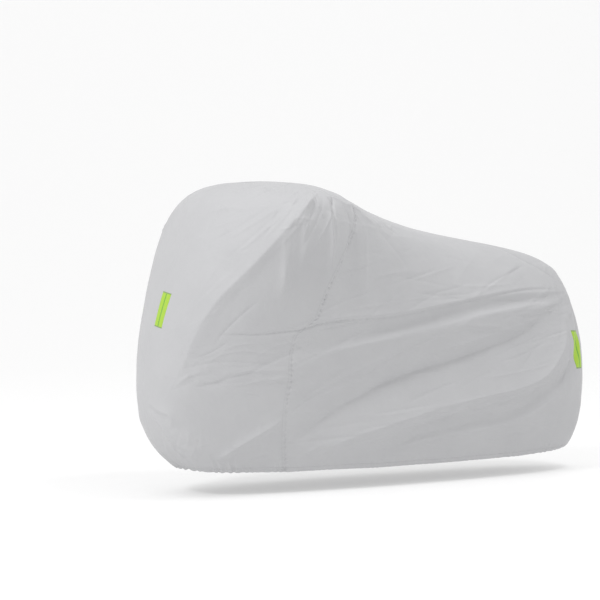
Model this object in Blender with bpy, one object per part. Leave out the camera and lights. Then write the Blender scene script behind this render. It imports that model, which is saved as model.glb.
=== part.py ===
"""Fitted cover for a parked motorcycle, draped over the bike, which is left out.

Metres, +Z up. -X is the front, -Y the bike's left side, here the near side.
Heights in the tables are above the ground. The finished cover is lowered by
ORIGIN_HEIGHT, so its origin lies under the cloth at the front of the seat.

The cloth is one smooth surface over (station, level): stations run from the
nose to the tail, levels from the hem to the centre seam along the top. It is
sewn from four panels: an upright seam parts the front from the rear, and the
centre seam parts the two sides.
"""
from collections import namedtuple

import bmesh
import bpy
import numpy as np

CLOTH_THICKNESS = 0.002
STRIP_THICKNESS = 0.001
PIECE_GAP = 0.0003
ORIGIN_HEIGHT = 1.132

# One row for each section across the cover; y is half the width there.
TUCK_HEIGHT = 0.22
BELLY_HEIGHT = 0.45
CHEST_SHARE = 0.55  # how far the chest lies up from belly to shoulder
Section = namedtuple(
    "Section",
    "name hem_x hem_y hem_z tuck_x tuck_y belly_x belly_y "
    "chest_x chest_y shoulder_x shoulder_y shoulder_z crown_x crown_z",
)
SECTIONS = [
    Section("nose", -0.985, 0, 0.105, -1.125, 0, -1.183, 0, -1.095, 0, -0.90, 0, 1.27, -0.70, 1.310),
    Section("brow", -0.97, 0.065, 0.105, -1.10, 0.10, -1.155, 0.11, -1.06, 0.18, -0.83, 0.34, 1.27, -0.66, 1.310),
    Section("cheek", -0.95, 0.115, 0.103, -1.06, 0.15, -1.09, 0.17, -0.96, 0.30, -0.71, 0.48, 1.28, -0.60, 1.310),
    Section("jaw", -0.90, 0.14, 0.10, -0.99, 0.18, -1.02, 0.205, -0.89, 0.345, -0.62, 0.52, 1.285, -0.55, 1.310),
    Section("fork", -0.80, 0.175, 0.095, -0.83, 0.22, -0.86, 0.26, -0.74, 0.40, -0.51, 0.53, 1.285, -0.48, 1.307),
    Section("seam", -0.60, 0.20, 0.09, -0.63, 0.25, -0.67, 0.30, -0.53, 0.40, -0.36, 0.49, 1.245, -0.37, 1.290),
    Section("tank", -0.30, 0.21, 0.085, -0.32, 0.27, -0.33, 0.31, -0.20, 0.36, -0.12, 0.34, 1.12, -0.14, 1.200),
    Section("seat", 0.10, 0.20, 0.082, 0.09, 0.26, 0.09, 0.30, 0.15, 0.31, 0.20, 0.22, 1.02, 0.18, 1.107),
    Section("rear", 0.50, 0.18, 0.082, 0.50, 0.23, 0.50, 0.26, 0.52, 0.25, 0.52, 0.17, 0.97, 0.50, 1.053),
    Section("haunch", 0.80, 0.145, 0.084, 0.85, 0.185, 0.87, 0.205, 0.85, 0.18, 0.80, 0.13, 0.915, 0.745, 1.006),
    Section("corner", 0.955, 0.09, 0.09, 1.02, 0.12, 1.03, 0.13, 1.00, 0.115, 0.935, 0.08, 0.86, 0.865, 0.948),
    Section("tail", 0.995, 0, 0.095, 1.05, 0, 1.06, 0, 1.03, 0, 0.97, 0, 0.83, 0.915, 0.908),
]
SEAM_STATION = 5
CROWN_LEVEL = 5
MIRROR = np.array([1.0, -1.0, 1.0])

# The bars are turned to the left and pull the top of the nose round with them.
STEER_TOP = np.radians(7)
STEER_LOW = np.radians(0.5)
STEER_LOW_HEIGHT = 0.55
STEER_TOP_HEIGHT = 1.20
STEER_AXIS_X = -0.80  # where the steering axis meets the ground
STEER_AXIS_RAKE = 0.27  # how far it leans back for each metre up
STEER_FROM_X = -0.15
STEER_TO_X = -0.60

# Long folds that fan out from the tail's upper corner, one row for each
# crest or trough: its angle below level and its height, in millimetres, at
# each of FAN_RADII. crisp is 0 for a round crest and 1 for a sharp one.
FAN_X = 0.935
FAN_HEIGHT = 0.80
FAN_RADII = (0.12, 0.3, 0.5, 0.8, 1.1, 1.4, 1.7)
FAN_REACH = 1.95
FAN_FADE = 0.3
FanFold = namedtuple("FanFold", "name crisp angles heights")
FAN_FOLDS = [
    FanFold("flat above", 0, (-30, -28, -22, -14, -10, -9, -8), (0, 0, 0, 0, 0, 0, 0)),
    FanFold("crease", 0.9, (-1, -1, 0, 2.3, 3.5, 3.3, 4), (2, 6, 9, 10, 9, 6, 2)),
    FanFold("crease foot", 0, (8, 5, 4.4, 5.7, 6.4, 6.8, 7), (-4, -8, -9, -9, -8, -4, -1)),
    FanFold("rib", 0.2, (22, 13, 9.3, 9.2, 8.8, 8.8, 9), (2, 6, 8, 9, 8, 4, 1)),
    FanFold("hollow", 0.5, (28, 22, 18, 15.5, 14.5, 15, 16), (-3, -4, -4, -4, -3, -2, 0)),
    FanFold("valley", 0.6, (34, 30, 24.8, 19.7, 17.9, 19, 21.5), (-8, -18, -22, -22, -20, -14, -4)),
    FanFold("leaf edge", 0.8, (89, 80, 53.5, 34.8, 28, 25.1, 25), (6, 14, 18, 18, 14, 8, 2)),
    FanFold("leaf foot", 0, (100, 88, 65, 42.5, 32.5, 29, 28), (0, -3, -6, -6, -4, -2, 0)),
    FanFold("low rib", 0.2, (105, 94, 72, 48, 35.3, 32, 31), (3, 6, 8, 8, 6, 3, 0)),
    FanFold("flat below", 0, (120, 110, 90, 62, 45, 38, 36), (0, 0, 0, 0, 0, 0, 0)),
]
FAR_FOLD_SHARE = 0.5  # the far side hangs in the same folds, half as deep

# Folds that hang from the grip on the near side.
HangingFold = namedtuple("HangingFold", "top_x top_z foot_x foot_z height half_width")
HANGING_FOLDS = [
    HangingFold(-0.75, 1.20, -0.73, 0.88, 0.010, 0.030),
    HangingFold(-0.66, 1.19, -0.67, 0.99, 0.004, 0.035),
    HangingFold(-0.55, 1.25, -0.53, 0.97, 0.010, 0.024),
    HangingFold(-0.38, 1.16, -0.33, 0.83, 0.007, 0.048),
]

# The ridge from the grip down to the cheek: its station at each level.
RIDGE_LEVELS = (1.9, 2.5, 2.86, 3.2, 3.6, 3.9, 4.2)
RIDGE_STATIONS = (1.85, 1.87, 2.03, 2.4, 2.6, 2.88, 3.25)
RIDGE_HEIGHT = 0.012
RIDGE_HALF_WIDTH = 1.1  # in stations

# The seam kinks forward where the crease crosses it: stations at each level.
KINK_LEVELS = (2.0, 2.3, 2.5, 2.7, 3.0, 5.0)
KINK_STATIONS = (0, -0.12, -0.20, 0.06, 0, 0)

# The cloth lies flat along the centre line and folds further out.
FLAT_HALF_WIDTH = 0.02
FOLD_RAMP = 0.10

# Cells of the model: the station or level where each run of cells ends.
STATION_RUNS = (
    (0.2, 1), (0.5, 1), (1, 2), (2, 3), (3, 2), (4, 3), (5, 3),
    (6, 4), (7, 6), (8, 6), (9, 5), (9.6, 2), (10, 1), (11, 3),
)
LEVEL_RUNS = ((1, 3), (2, 4), (2.57, 4), (2.93, 3), (4, 6), (5, 4))
FRONT_STRIP_STATION, FRONT_STRIP_LEVELS = (0.2, 0.5), (2.57, 2.93)
FAR_FRONT_STRIP_STATION = (5 / 3, 2)  # the turned bars pull that side back
REAR_STRIP_STATION, REAR_STRIP_LEVELS = (9.6, 10), (2, 2.81)

SILVER_CLOTH = (0.50, 0.50, 0.51, 1)
LIME_REFLECTIVE = (0.42, 0.80, 0.06, 1)


def smooth_step(share):
    share = np.clip(share, 0, 1)
    return share * share * (3 - 2 * share)


def control_net():
    """Control points, one row of six levels for each section, with the far
    side mirrored past the nose, the tail and the crown."""
    rows = []
    for s in SECTIONS:
        chest_z = BELLY_HEIGHT + (s.shoulder_z - BELLY_HEIGHT) * CHEST_SHARE
        rows.append([
            (s.hem_x, s.hem_y, s.hem_z),
            (s.tuck_x, s.tuck_y, TUCK_HEIGHT),
            (s.belly_x, s.belly_y, BELLY_HEIGHT),
            (s.chest_x, s.chest_y, chest_z),
            (s.shoulder_x, s.shoulder_y, s.shoulder_z),
            (s.crown_x, 0, s.crown_z),
        ])
    net = np.array(rows, float)
    net = np.concatenate([net[1:2] * MIRROR, net, net[-2:-1] * MIRROR], axis=0)
    below_hem = 2 * net[:, 0:1] - net[:, 1:2]
    past_crown = net[:, -2:-1] * MIRROR
    return np.concatenate([below_hem, net, past_crown], axis=1)


NET = control_net()


def spline_weights(where, spans):
    """First control row and the four cubic B-spline weights at each place."""
    where = np.clip(where, 0, spans)
    first = np.minimum(where.astype(int), spans - 1)
    t = where - first
    weights = ((1 - t) ** 3, 3 * t**3 - 6 * t**2 + 4, -3 * t**3 + 3 * t**2 + 3 * t + 1, t**3)
    return first, [w / 6 for w in weights]


def smooth_cover(station, level):
    """The cover without folds, as its half of positive y."""
    first_s, weights_s = spline_weights(station, len(SECTIONS) - 1)
    first_l, weights_l = spline_weights(level, CROWN_LEVEL)
    point = 0
    for a, weight_s in enumerate(weights_s):
        for b, weight_l in enumerate(weights_l):
            point = point + (weight_s * weight_l)[..., None] * NET[first_s + a, first_l + b]
    return point


def smooth_normal(station, level, step=0.01):
    """Outward normal of the cover without folds."""
    along = smooth_cover(station + step, level) - smooth_cover(station - step, level)
    up = smooth_cover(station, level + step) - smooth_cover(station, level - step)
    normal = np.cross(up, along)
    return normal / np.maximum(np.linalg.norm(normal, axis=-1, keepdims=True), 1e-9)


def fan_height(x, z):
    """Height of the long folds at a place in the side view."""
    ahead, below = FAN_X - x, FAN_HEIGHT - z
    radius = np.hypot(ahead, below)
    angle = np.degrees(np.arctan2(below, ahead))
    height = np.zeros_like(x)
    for upper, lower in zip(FAN_FOLDS, FAN_FOLDS[1:]):
        angle_a = np.interp(radius, FAN_RADII, upper.angles)
        angle_b = np.interp(radius, FAN_RADII, lower.angles)
        height_a = np.interp(radius, FAN_RADII, upper.heights) / 1000
        height_b = np.interp(radius, FAN_RADII, lower.heights) / 1000
        t = (angle - angle_a) / (angle_b - angle_a)
        blend = (t**3 - 2 * t**2 + t) * upper.crisp + 3 * t**2 - 2 * t**3 + (t**3 - t**2) * lower.crisp
        height = np.where((t >= 0) & (t < 1), height_a + (height_b - height_a) * blend, height)
    return height * smooth_step(radius / FAN_RADII[0]) * smooth_step((FAN_REACH - radius) / FAN_FADE)


def hanging_height(x, z):
    """Height of the folds under the near grip."""
    height = np.zeros_like(x)
    for fold in HANGING_FOLDS:
        down = (fold.top_z - z) / (fold.top_z - fold.foot_z)
        middle = fold.top_x + (fold.foot_x - fold.top_x) * np.clip(down, 0, 1)
        across = np.exp(-1.5 * ((x - middle) / fold.half_width) ** 2)
        height = height + fold.height * across * smooth_step(down / 0.2) * smooth_step((1.25 - down) / 0.5)
    return height


def ridge_height(station, level):
    """Height of the ridge that parts the front face from the side."""
    crest = np.interp(level, RIDGE_LEVELS, RIDGE_STATIONS)
    across = np.clip(1 - np.abs(station - crest) / RIDGE_HALF_WIDTH, 0, 1) ** 2
    return RIDGE_HEIGHT * across * smooth_step((level - 1.9) / 0.6) * smooth_step((4.5 - level) / 0.4)


def steer(point):
    """Turns the front about the raked steering axis, most at the bars."""
    x, y, z = point[..., 0], point[..., 1], point[..., 2]
    axis_x = STEER_AXIS_X + STEER_AXIS_RAKE * z
    lift = smooth_step((z - STEER_LOW_HEIGHT) / (STEER_TOP_HEIGHT - STEER_LOW_HEIGHT))
    share = smooth_step((STEER_FROM_X - x) / (STEER_FROM_X - STEER_TO_X))
    angle = (STEER_LOW + (STEER_TOP - STEER_LOW) * lift) * share
    turned_x = axis_x + np.cos(angle) * (x - axis_x) - np.sin(angle) * y
    turned_y = np.sin(angle) * (x - axis_x) + np.cos(angle) * y
    return np.stack([turned_x, turned_y, z], axis=-1)


def cover(station, level, near):
    """A point of the outer skin on the near or the far side."""
    if near:
        pull = np.clip(1 - np.abs(station - SEAM_STATION), 0, 1)
        station = station + np.interp(level, KINK_LEVELS, KINK_STATIONS) * pull
    point = smooth_cover(station, level)
    x, z = point[..., 0], point[..., 2]
    height = ridge_height(station, level)
    if near:
        height = height + fan_height(x, z) + hanging_height(x, z)
    else:
        height = height + fan_height(x, z) * FAR_FOLD_SHARE
    height = height * smooth_step((point[..., 1] - FLAT_HALF_WIDTH) / FOLD_RAMP)
    point = point + smooth_normal(station, level) * height[..., None]
    if near:
        point = point * MIRROR
    return steer(point) - np.array([0, 0, ORIGIN_HEIGHT])


def cell_lines(runs):
    """Evenly spaced lines from 0 through the end of each run."""
    lines = [0.0]
    for end, cells in runs:
        start = lines[-1]
        lines += [start + (end - start) * (k + 1) / cells for k in range(cells)]
    return np.array(lines)


STATIONS = cell_lines(STATION_RUNS)
LEVELS = cell_lines(LEVEL_RUNS)
LAST_STATION = len(STATIONS) - 1
LAST_LEVEL = len(LEVELS) - 1


def line_index(lines, value):
    return int(np.argmin(np.abs(lines - value)))


def point_key(near, i, j):
    """The two sides share the points of the centre seam: nose, tail and crown."""
    on_centre = i in (0, LAST_STATION) or j == LAST_LEVEL
    return (on_centre or near, i, j)


def cell_triangles(near, i, j):
    """Two triangles, cut along the run of the folds, facing out."""
    a, b = point_key(near, i, j), point_key(near, i + 1, j)
    c, d = point_key(near, i + 1, j + 1), point_key(near, i, j + 1)
    nose_corner = i == 0 and j == LAST_LEVEL - 1
    triangles = [(a, b, d), (b, c, d)] if nose_corner else [(a, b, c), (a, c, d)]
    return triangles if near else [t[::-1] for t in triangles]


def skin_triangles(sides, i_range, j_range):
    return [
        triangle
        for near in sides
        for i in range(*i_range)
        for j in range(*j_range)
        for triangle in cell_triangles(near, i, j)
    ]


def skin_points():
    """The outer skin's points and their normals, by point key."""
    grid_s, grid_l = np.meshgrid(STATIONS, LEVELS, indexing="ij")
    points = {}
    for near in (False, True):
        grid = cover(grid_s, grid_l, near)
        for i in range(LAST_STATION + 1):
            for j in range(LAST_LEVEL + 1):
                points[point_key(near, i, j)] = grid[i, j]
    normals = {key: np.zeros(3) for key in points}
    for triangle in skin_triangles((True, False), (0, LAST_STATION), (0, LAST_LEVEL)):
        a, b, c = (points[key] for key in triangle)
        for key in triangle:
            normals[key] += np.cross(b - a, c - a)
    return points, {key: n / np.linalg.norm(n) for key, n in normals.items()}


def seam_shifts(points, normals, seam, towards):
    """Half the gap for each point along the upright seam, across the seam."""
    walk = [(True, seam, j) for j in range(LAST_LEVEL)]
    walk += [point_key(False, seam, j) for j in range(LAST_LEVEL, -1, -1)]
    shifts = {}
    for k, key in enumerate(walk):
        ahead = points[walk[min(k + 1, len(walk) - 1)]]
        behind = points[walk[max(k - 1, 0)]]
        across = np.cross(ahead - behind, normals[key])
        across *= np.sign(across[0]) * towards
        shifts[key] = across / np.linalg.norm(across) * PIECE_GAP / 2
    return shifts


def centre_shift(key, near):
    """Half the gap for a point on the centre seam, away from the other side."""
    on_centre = key[1] in (0, LAST_STATION) or key[2] == LAST_LEVEL
    return np.array([0, (-1 if near else 1) * PIECE_GAP / 2 if on_centre else 0, 0])


def fabric(name, colour, roughness):
    material = bpy.data.materials.new(name)
    material.use_nodes = True
    shader = material.node_tree.nodes["Principled BSDF"]
    shader.inputs["Base Color"].default_value = colour
    shader.inputs["Roughness"].default_value = roughness
    shader.inputs["Metallic"].default_value = 0
    return material


def sheet_solid(name, triangles, low, high, material):
    """A closed sheet: its lower skin is extruded up to the upper one."""
    bm = bmesh.new()
    row = bm.verts.layers.int.new("row")
    keys = sorted({key for triangle in triangles for key in triangle})
    verts = {}
    for k, key in enumerate(keys):
        verts[key] = bm.verts.new(low(key))
        verts[key][row] = k
    for triangle in triangles:
        bm.faces.new([verts[key] for key in triangle])
    raised = bmesh.ops.extrude_face_region(bm, geom=bm.faces[:], use_keep_orig=True)
    for item in raised["geom"]:
        if isinstance(item, bmesh.types.BMVert):
            item.co = high(keys[item[row]])
    bmesh.ops.recalc_face_normals(bm, faces=bm.faces[:])
    mesh = bpy.data.meshes.new(name)
    bm.to_mesh(mesh)
    bm.free()
    mesh.shade_smooth()
    mesh.materials.append(material)
    sheet = bpy.data.objects.new(name, mesh)
    bpy.context.scene.collection.objects.link(sheet)
    return sheet


def make_panel(name, near, i_range, towards, skin, material):
    """A cloth panel of one side, parted from its neighbours at the seams."""
    points, normals = skin
    seam = line_index(STATIONS, SEAM_STATION)
    shifts = seam_shifts(points, normals, seam, towards)

    def outer(key):
        return points[key] + shifts.get(key, 0) + centre_shift(key, near)

    def inner(key):
        return outer(key) - normals[key] * CLOTH_THICKNESS

    triangles = skin_triangles((near,), i_range, (0, LAST_LEVEL))
    return sheet_solid(name, triangles, inner, outer, material)


def make_strip(name, near, stations, levels, skin, material):
    """A reflective strip, sewn on flat against the cloth."""
    points, normals = skin
    i_range = [line_index(STATIONS, value) for value in stations]
    j_range = [line_index(LEVELS, value) for value in levels]

    def underside(key):
        return points[key] + normals[key] * PIECE_GAP

    def face(key):
        return points[key] + normals[key] * (PIECE_GAP + STRIP_THICKNESS)

    triangles = skin_triangles((near,), i_range, j_range)
    return sheet_solid(name, triangles, underside, face, material)


for leftover in list(bpy.data.objects):
    bpy.data.objects.remove(leftover)

whole_skin = skin_points()
seam_line = line_index(STATIONS, SEAM_STATION)
for side, is_near, front_strip_station in (
    ("near", True, FRONT_STRIP_STATION),
    ("far", False, FAR_FRONT_STRIP_STATION),
):
    make_panel(
        f"front_panel_{side}", is_near, (0, seam_line), -1,
        whole_skin, fabric(f"front_{side}_cloth", SILVER_CLOTH, 0.55),
    )
    make_panel(
        f"rear_panel_{side}", is_near, (seam_line, LAST_STATION), 1,
        whole_skin, fabric(f"rear_{side}_cloth", SILVER_CLOTH, 0.55),
    )
    make_strip(
        f"strip_front_{side}", is_near, front_strip_station, FRONT_STRIP_LEVELS,
        whole_skin, fabric(f"front_{side}_lime", LIME_REFLECTIVE, 0.35),
    )
    make_strip(
        f"strip_rear_{side}", is_near, REAR_STRIP_STATION, REAR_STRIP_LEVELS,
        whole_skin, fabric(f"rear_{side}_lime", LIME_REFLECTIVE, 0.35),
    )
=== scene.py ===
"""Looks of a fitted silver motorcycle cover, on a pale floor.

Metres, +Z up. -X is the front and -Y the near side. The origin lies under the
cloth at the front of the seat; heights in the tables are above the ground.
"""
from collections import namedtuple

import bpy
import numpy as np
from mathutils import Matrix, Vector, noise


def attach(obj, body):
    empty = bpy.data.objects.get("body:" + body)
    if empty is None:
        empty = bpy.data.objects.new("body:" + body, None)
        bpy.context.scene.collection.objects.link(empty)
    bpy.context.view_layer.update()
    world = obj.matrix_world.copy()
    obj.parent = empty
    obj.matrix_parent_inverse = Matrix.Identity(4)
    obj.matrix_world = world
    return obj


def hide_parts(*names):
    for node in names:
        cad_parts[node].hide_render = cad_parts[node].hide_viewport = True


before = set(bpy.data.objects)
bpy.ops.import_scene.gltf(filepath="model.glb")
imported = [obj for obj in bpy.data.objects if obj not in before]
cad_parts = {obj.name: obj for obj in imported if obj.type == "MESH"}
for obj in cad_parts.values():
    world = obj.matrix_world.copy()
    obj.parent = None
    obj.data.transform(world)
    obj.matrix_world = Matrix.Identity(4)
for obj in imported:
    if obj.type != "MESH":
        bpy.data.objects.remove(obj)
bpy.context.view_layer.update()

# ---------------------------------------------------------------------------
# The studio: a pale floor that sweeps up into a backdrop, lit by one large
# soft light from the front left and by pale surroundings.
# ---------------------------------------------------------------------------
GROUND_Z = -1.132
CAMERA_PLACE = (-6.341, -10.148, 0.368)
CAMERA_AZIMUTH = 30.36  # degrees that it looks to the right of +Y
CAMERA_DIP = 3.43  # degrees that it looks down
CAMERA_LENS = 165.8
FLOOR_HALF = 14.0
SWEEP_START = 5.0
SWEEP_RADIUS = 4.0
BACKDROP_TOP = 7.0
SWEEP_STEP = 5  # degrees between its lines
FLOOR_GLOW = 0.42
LIGHT_TARGET = (0, 0, -0.4)
SURROUNDING_LIGHT = 0.77


def aim(place, target):
    """Matrix of a camera or a light at place that looks at target."""
    place = Vector(place)
    turn = (Vector(target) - place).to_track_quat("-Z", "Y")
    return Matrix.Translation(place) @ turn.to_matrix().to_4x4()


def plain_material(name, colour, roughness):
    material = bpy.data.materials.new(name)
    material.use_nodes = True
    shader = material.node_tree.nodes["Principled BSDF"]
    shader.inputs["Base Color"].default_value = colour
    shader.inputs["Roughness"].default_value = roughness
    return material


def make_backdrop():
    """Floor and wall in one sheet, square to the camera."""
    profile = [(-FLOOR_HALF, 0.0), (SWEEP_START, 0.0)]
    for turn in np.radians(np.arange(SWEEP_STEP, 91, SWEEP_STEP)):
        reach = SWEEP_START + SWEEP_RADIUS * np.sin(turn)
        profile.append((reach, SWEEP_RADIUS * (1 - np.cos(turn))))
    profile.append((SWEEP_START + SWEEP_RADIUS, BACKDROP_TOP))
    azimuth = np.radians(CAMERA_AZIMUTH)
    ahead = np.array([np.sin(azimuth), np.cos(azimuth)])
    right = np.array([np.cos(azimuth), -np.sin(azimuth)])
    verts = []
    for reach, rise in profile:
        for side in (-FLOOR_HALF, FLOOR_HALF):
            x, y = ahead * reach + right * side
            verts.append((x, y, GROUND_Z + rise))
    faces = [(2 * k, 2 * k + 1, 2 * k + 3, 2 * k + 2) for k in range(len(profile) - 1)]
    mesh = bpy.data.meshes.new("backdrop")
    mesh.from_pydata(verts, [], faces)
    mesh.shade_smooth()
    floor = plain_material("pale_floor", (0.55, 0.55, 0.55, 1), 0.8)
    shader = floor.node_tree.nodes["Principled BSDF"]
    shader.inputs["Emission Color"].default_value = (1, 1, 1, 1)
    shader.inputs["Emission Strength"].default_value = FLOOR_GLOW
    mesh.materials.append(floor)
    backdrop = bpy.data.objects.new("backdrop", mesh)
    bpy.context.scene.collection.objects.link(backdrop)


def soft_light(name, place, size, power):
    light = bpy.data.lights.new(name, "AREA")
    light.shape = "DISK"
    light.size = size
    light.energy = power
    lamp = bpy.data.objects.new(name, light)
    lamp.matrix_world = aim(place, LIGHT_TARGET)
    bpy.context.scene.collection.objects.link(lamp)


make_backdrop()
soft_light("key", (-7.0, -1.9, 4.8), 1.8, 262)
soft_light("top", (1.6, -1.9, 5.6), 1.6, 105)

world = bpy.data.worlds.new("pale_room")
world.use_nodes = True
background = world.node_tree.nodes["Background"]
background.inputs["Color"].default_value = (1, 1, 1, 1)
background.inputs["Strength"].default_value = SURROUNDING_LIGHT
bpy.context.scene.world = world
bpy.context.scene.view_settings.view_transform = "Standard"

camera = bpy.data.objects.new("camera", bpy.data.cameras.new("camera"))
azimuth, dip = np.radians(CAMERA_AZIMUTH), np.radians(CAMERA_DIP)
look = Vector((np.sin(azimuth) * np.cos(dip), np.cos(azimuth) * np.cos(dip), -np.sin(dip)))
camera.matrix_world = aim(CAMERA_PLACE, Vector(CAMERA_PLACE) + look)
camera.data.lens = CAMERA_LENS
camera.data.sensor_width = 36
camera.data.clip_start = 1.0
camera.data.clip_end = 100.0
bpy.context.scene.collection.objects.link(camera)
bpy.context.scene.camera = camera

# ---------------------------------------------------------------------------
# Front panels, near and far: thin silver-coated woven polyester that falls
# from the bars over the fork and front wheel, sewn to each other along the
# nose and the top. Their hem is a casing turned in over elastic.
# ---------------------------------------------------------------------------
TUCK_HEIGHT = 0.22
BELLY_HEIGHT = 0.45
CHEST_SHARE = 0.55  # how far the chest lies up from belly to shoulder
Section = namedtuple(
    "Section",
    "name hem_x hem_y hem_z tuck_x tuck_y belly_x belly_y "
    "chest_x chest_y shoulder_x shoulder_y shoulder_z crown_x crown_z",
)
# One row for each section across the cover, broken where the names above are;
# y is half the width there.
SECTIONS = [
    Section("nose", -0.985, 0, 0.105, -1.125, 0, -1.183, 0,
            -1.095, 0, -0.90, 0, 1.27, -0.70, 1.310),
    Section("brow", -0.97, 0.065, 0.105, -1.10, 0.10, -1.155, 0.11,
            -1.06, 0.18, -0.83, 0.34, 1.27, -0.66, 1.310),
    Section("cheek", -0.95, 0.115, 0.103, -1.06, 0.15, -1.09, 0.17,
            -0.96, 0.30, -0.71, 0.48, 1.28, -0.60, 1.310),
    Section("jaw", -0.90, 0.14, 0.10, -0.99, 0.18, -1.02, 0.205,
            -0.89, 0.345, -0.62, 0.52, 1.285, -0.55, 1.310),
    Section("fork", -0.80, 0.175, 0.095, -0.83, 0.22, -0.86, 0.26,
            -0.74, 0.40, -0.51, 0.53, 1.285, -0.48, 1.307),
    Section("seam", -0.60, 0.20, 0.09, -0.63, 0.25, -0.67, 0.30,
            -0.53, 0.40, -0.36, 0.49, 1.245, -0.37, 1.290),
    Section("tank", -0.30, 0.21, 0.085, -0.32, 0.27, -0.33, 0.31,
            -0.20, 0.36, -0.12, 0.34, 1.12, -0.14, 1.200),
    Section("seat", 0.10, 0.20, 0.082, 0.09, 0.26, 0.09, 0.30,
            0.15, 0.31, 0.20, 0.22, 1.02, 0.18, 1.107),
    Section("rear", 0.50, 0.18, 0.082, 0.50, 0.23, 0.50, 0.26,
            0.52, 0.25, 0.52, 0.17, 0.97, 0.50, 1.053),
    Section("haunch", 0.80, 0.145, 0.084, 0.85, 0.185, 0.87, 0.205,
            0.85, 0.18, 0.80, 0.13, 0.915, 0.745, 1.006),
    Section("corner", 0.955, 0.09, 0.09, 1.02, 0.12, 1.03, 0.13,
            1.00, 0.115, 0.935, 0.08, 0.86, 0.865, 0.948),
    Section("tail", 0.995, 0, 0.095, 1.05, 0, 1.06, 0,
            1.03, 0, 0.97, 0, 0.83, 0.915, 0.908),
]
SEAM_STATION = 5
TAIL_STATION = 11
CROWN_LEVEL = 5
MIRROR = np.array([1.0, -1.0, 1.0])


def smooth_step(share):
    share = np.clip(share, 0, 1)
    return share * share * (3 - 2 * share)


def control_net():
    """Control points, one row of six levels for each section, with the far
    side mirrored past the nose, the tail and the crown."""
    rows = []
    for s in SECTIONS:
        chest_z = BELLY_HEIGHT + (s.shoulder_z - BELLY_HEIGHT) * CHEST_SHARE
        rows.append([
            (s.hem_x, s.hem_y, s.hem_z),
            (s.tuck_x, s.tuck_y, TUCK_HEIGHT),
            (s.belly_x, s.belly_y, BELLY_HEIGHT),
            (s.chest_x, s.chest_y, chest_z),
            (s.shoulder_x, s.shoulder_y, s.shoulder_z),
            (s.crown_x, 0, s.crown_z),
        ])
    net = np.array(rows, float)
    net = np.concatenate([net[1:2] * MIRROR, net, net[-2:-1] * MIRROR], axis=0)
    below_hem = 2 * net[:, 0:1] - net[:, 1:2]
    past_crown = net[:, -2:-1] * MIRROR
    return np.concatenate([below_hem, net, past_crown], axis=1)


NET = control_net()


def spline_weights(where, spans):
    """First control row and the four cubic B-spline weights at each place."""
    where = np.clip(where, 0, spans)
    first = np.minimum(where.astype(int), spans - 1)
    t = where - first
    weights = ((1 - t) ** 3, 3 * t**3 - 6 * t**2 + 4, -3 * t**3 + 3 * t**2 + 3 * t + 1, t**3)
    return first, [w / 6 for w in weights]


def smooth_cover(station, level):
    """The cover without folds, as its half of positive y."""
    first_s, weights_s = spline_weights(station, TAIL_STATION)
    first_l, weights_l = spline_weights(level, CROWN_LEVEL)
    point = 0
    for a, weight_s in enumerate(weights_s):
        for b, weight_l in enumerate(weights_l):
            point = point + (weight_s * weight_l)[..., None] * NET[first_s + a, first_l + b]
    return point


def smooth_normal(station, level, step=0.01):
    """Outward normal of the cover without folds."""
    along = smooth_cover(station + step, level) - smooth_cover(station - step, level)
    up = smooth_cover(station, level + step) - smooth_cover(station, level - step)
    normal = np.cross(up, along)
    return normal / np.maximum(np.linalg.norm(normal, axis=-1, keepdims=True), 1e-9)


# Long folds that fan out from the tail's upper corner, one row for each
# crest or trough: its angle below level and its height, in millimetres, at
# each of FAN_RADII. crisp is 0 for a round crest and 1 for a sharp one.
FAN_X = 0.935
FAN_HEIGHT = 0.80
FAN_RADII = (0.12, 0.3, 0.5, 0.8, 1.1, 1.4, 1.7)
FAN_REACH = 1.95
FAN_FADE = 0.3
FanFold = namedtuple("FanFold", "name crisp angles heights")
FAN_FOLDS = [
    FanFold("flat above", 0, (-30, -28, -22, -14, -10, -9, -8), (0, 0, 0, 0, 0, 0, 0)),
    FanFold("crease", 0.9, (-1, -1, 0, 2.3, 3.5, 3.3, 4), (2, 6, 9, 10, 9, 6, 2)),
    FanFold("crease foot", 0, (8, 5, 4.4, 5.7, 6.4, 6.8, 7), (-4, -8, -9, -9, -8, -4, -1)),
    FanFold("rib", 0.2, (22, 13, 9.3, 9.2, 8.8, 8.8, 9), (2, 6, 8, 9, 8, 4, 1)),
    FanFold("hollow", 0.5, (28, 22, 18, 15.5, 14.5, 15, 16), (-3, -4, -4, -4, -3, -2, 0)),
    FanFold("valley", 0.6, (34, 30, 24.8, 19.7, 17.9, 19, 21.5), (-8, -18, -22, -22, -20, -14, -4)),
    FanFold("leaf edge", 0.8, (89, 80, 53.5, 34.8, 28, 25.1, 25), (6, 14, 18, 18, 14, 8, 2)),
    FanFold("leaf foot", 0, (100, 88, 65, 42.5, 32.5, 29, 28), (0, -3, -6, -6, -4, -2, 0)),
    FanFold("low rib", 0.2, (105, 94, 72, 48, 35.3, 32, 31), (3, 6, 8, 8, 6, 3, 0)),
    FanFold("flat below", 0, (120, 110, 90, 62, 45, 38, 36), (0, 0, 0, 0, 0, 0, 0)),
]
FAR_FOLD_SHARE = 0.5  # the far side hangs in the same folds, half as deep


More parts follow.
